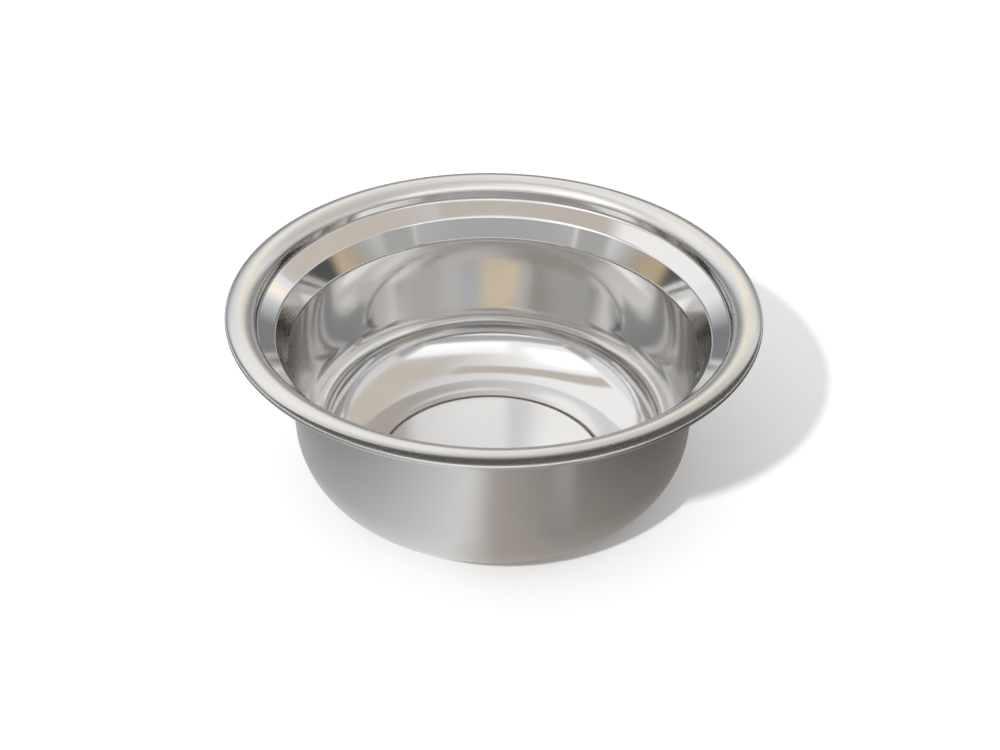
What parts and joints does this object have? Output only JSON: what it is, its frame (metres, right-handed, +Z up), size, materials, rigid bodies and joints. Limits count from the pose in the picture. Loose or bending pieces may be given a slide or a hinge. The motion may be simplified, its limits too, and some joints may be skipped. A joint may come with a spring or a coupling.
{
  "type": "stainless dog bowl",
  "caption": "Round stainless steel dog bowl with a wide rolled rim, a sloped ledge below it, a deep rounded well and a raised floor panel over a bonded rubber ring.",
  "frame": {"origin": "on the bowl's axis, in the plane that the rubber ring stands on", "axes": "+Z up along the axis of the bowl; X and Y are equal, because the bowl is turned about Z"},
  "size_m": [0.2, 0.2, 0.0808],
  "materials": {
    "stainless_steel": "mirror-polished sheet inside and outside, with a fine satin finish on the rolled rim",
    "black_rubber": "matt moulded rubber"
  },
  "bodies": {
    "root": {"bowl_shell": "stainless_steel", "non_skid_ring": "black_rubber"}
  },
  "joints": []
}
